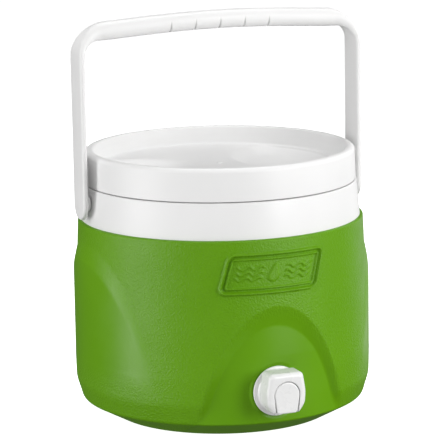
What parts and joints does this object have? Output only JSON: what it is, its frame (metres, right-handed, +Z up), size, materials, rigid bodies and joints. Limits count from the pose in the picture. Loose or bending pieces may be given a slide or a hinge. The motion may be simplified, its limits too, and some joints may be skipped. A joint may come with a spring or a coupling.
{
  "type": "insulated water jug",
  "caption": "Round insulated drink jug with a screw lid, a swinging bail handle and a push-button tap at the front.",
  "frame": {"origin": "on the jug's axis, in the plane of its foot", "axes": "+Z up along the jug's axis; the tap is on the -Y side; the handle's pivots are on the X axis"},
  "size_m": [0.2764, 0.2942, 0.374],
  "materials": {
    "green_plastic": "fine moulded grain, satin",
    "white_plastic": "satin moulded",
    "tap_plastic": "smooth moulded",
    "insulation_foam": "matte foam",
    "stainless_steel": "drawn",
    "stem_plastic": "smooth",
    "seal_rubber": "matte"
  },
  "bodies": {
    "jug": {"outer_shell": "green_plastic", "foam_insulation": "insulation_foam", "inner_liner": "white_plastic", "collar_ring": "white_plastic", "foam_fill_plug": "insulation_foam", "tap_body": "tap_plastic", "tap_outer_gasket": "seal_rubber", "tap_inner_gasket": "seal_rubber", "tap_lock_nut": "tap_plastic", "stem_o_ring": "seal_rubber", "return_spring": "stainless_steel"},
    "bail": {"bail_handle": "white_plastic", "handle_pin_left": "stainless_steel", "handle_pin_right": "stainless_steel"},
    "lid_seal": {"lid_gasket": "seal_rubber"},
    "lid": {"lid_shell": "white_plastic", "lid_underside": "white_plastic", "lid_foam": "insulation_foam"},
    "button": {"push_button": "tap_plastic", "valve_stem": "stem_plastic", "valve_seal": "seal_rubber", "stem_clip": "stainless_steel"}
  },
  "joints": [
    {"name": "bail_swing", "type": "hinge", "parent": "jug", "child": "bail", "pos_m": [0, 0, 0.204], "axis": [1, 0, 0], "range_deg": [-113, 113]},
    {"name": "lid_lift", "type": "slide", "parent": "jug", "child": "lid_seal", "axis": [0, 0, 1], "range_m": [0, 0.095]},
    {"name": "lid_turn", "type": "hinge", "parent": "lid_seal", "child": "lid", "pos_m": [0, 0, 0.22], "axis": [0, 0, 1], "range_deg": [0, 270]},
    {"name": "button_press", "type": "slide", "parent": "jug", "child": "button", "axis": [0, 1, 0], "range_m": [0, 0.005], "stiffness_N_per_m": 600, "springref_m": -0.004, "deforming": ["return_spring"]}
  ]
}
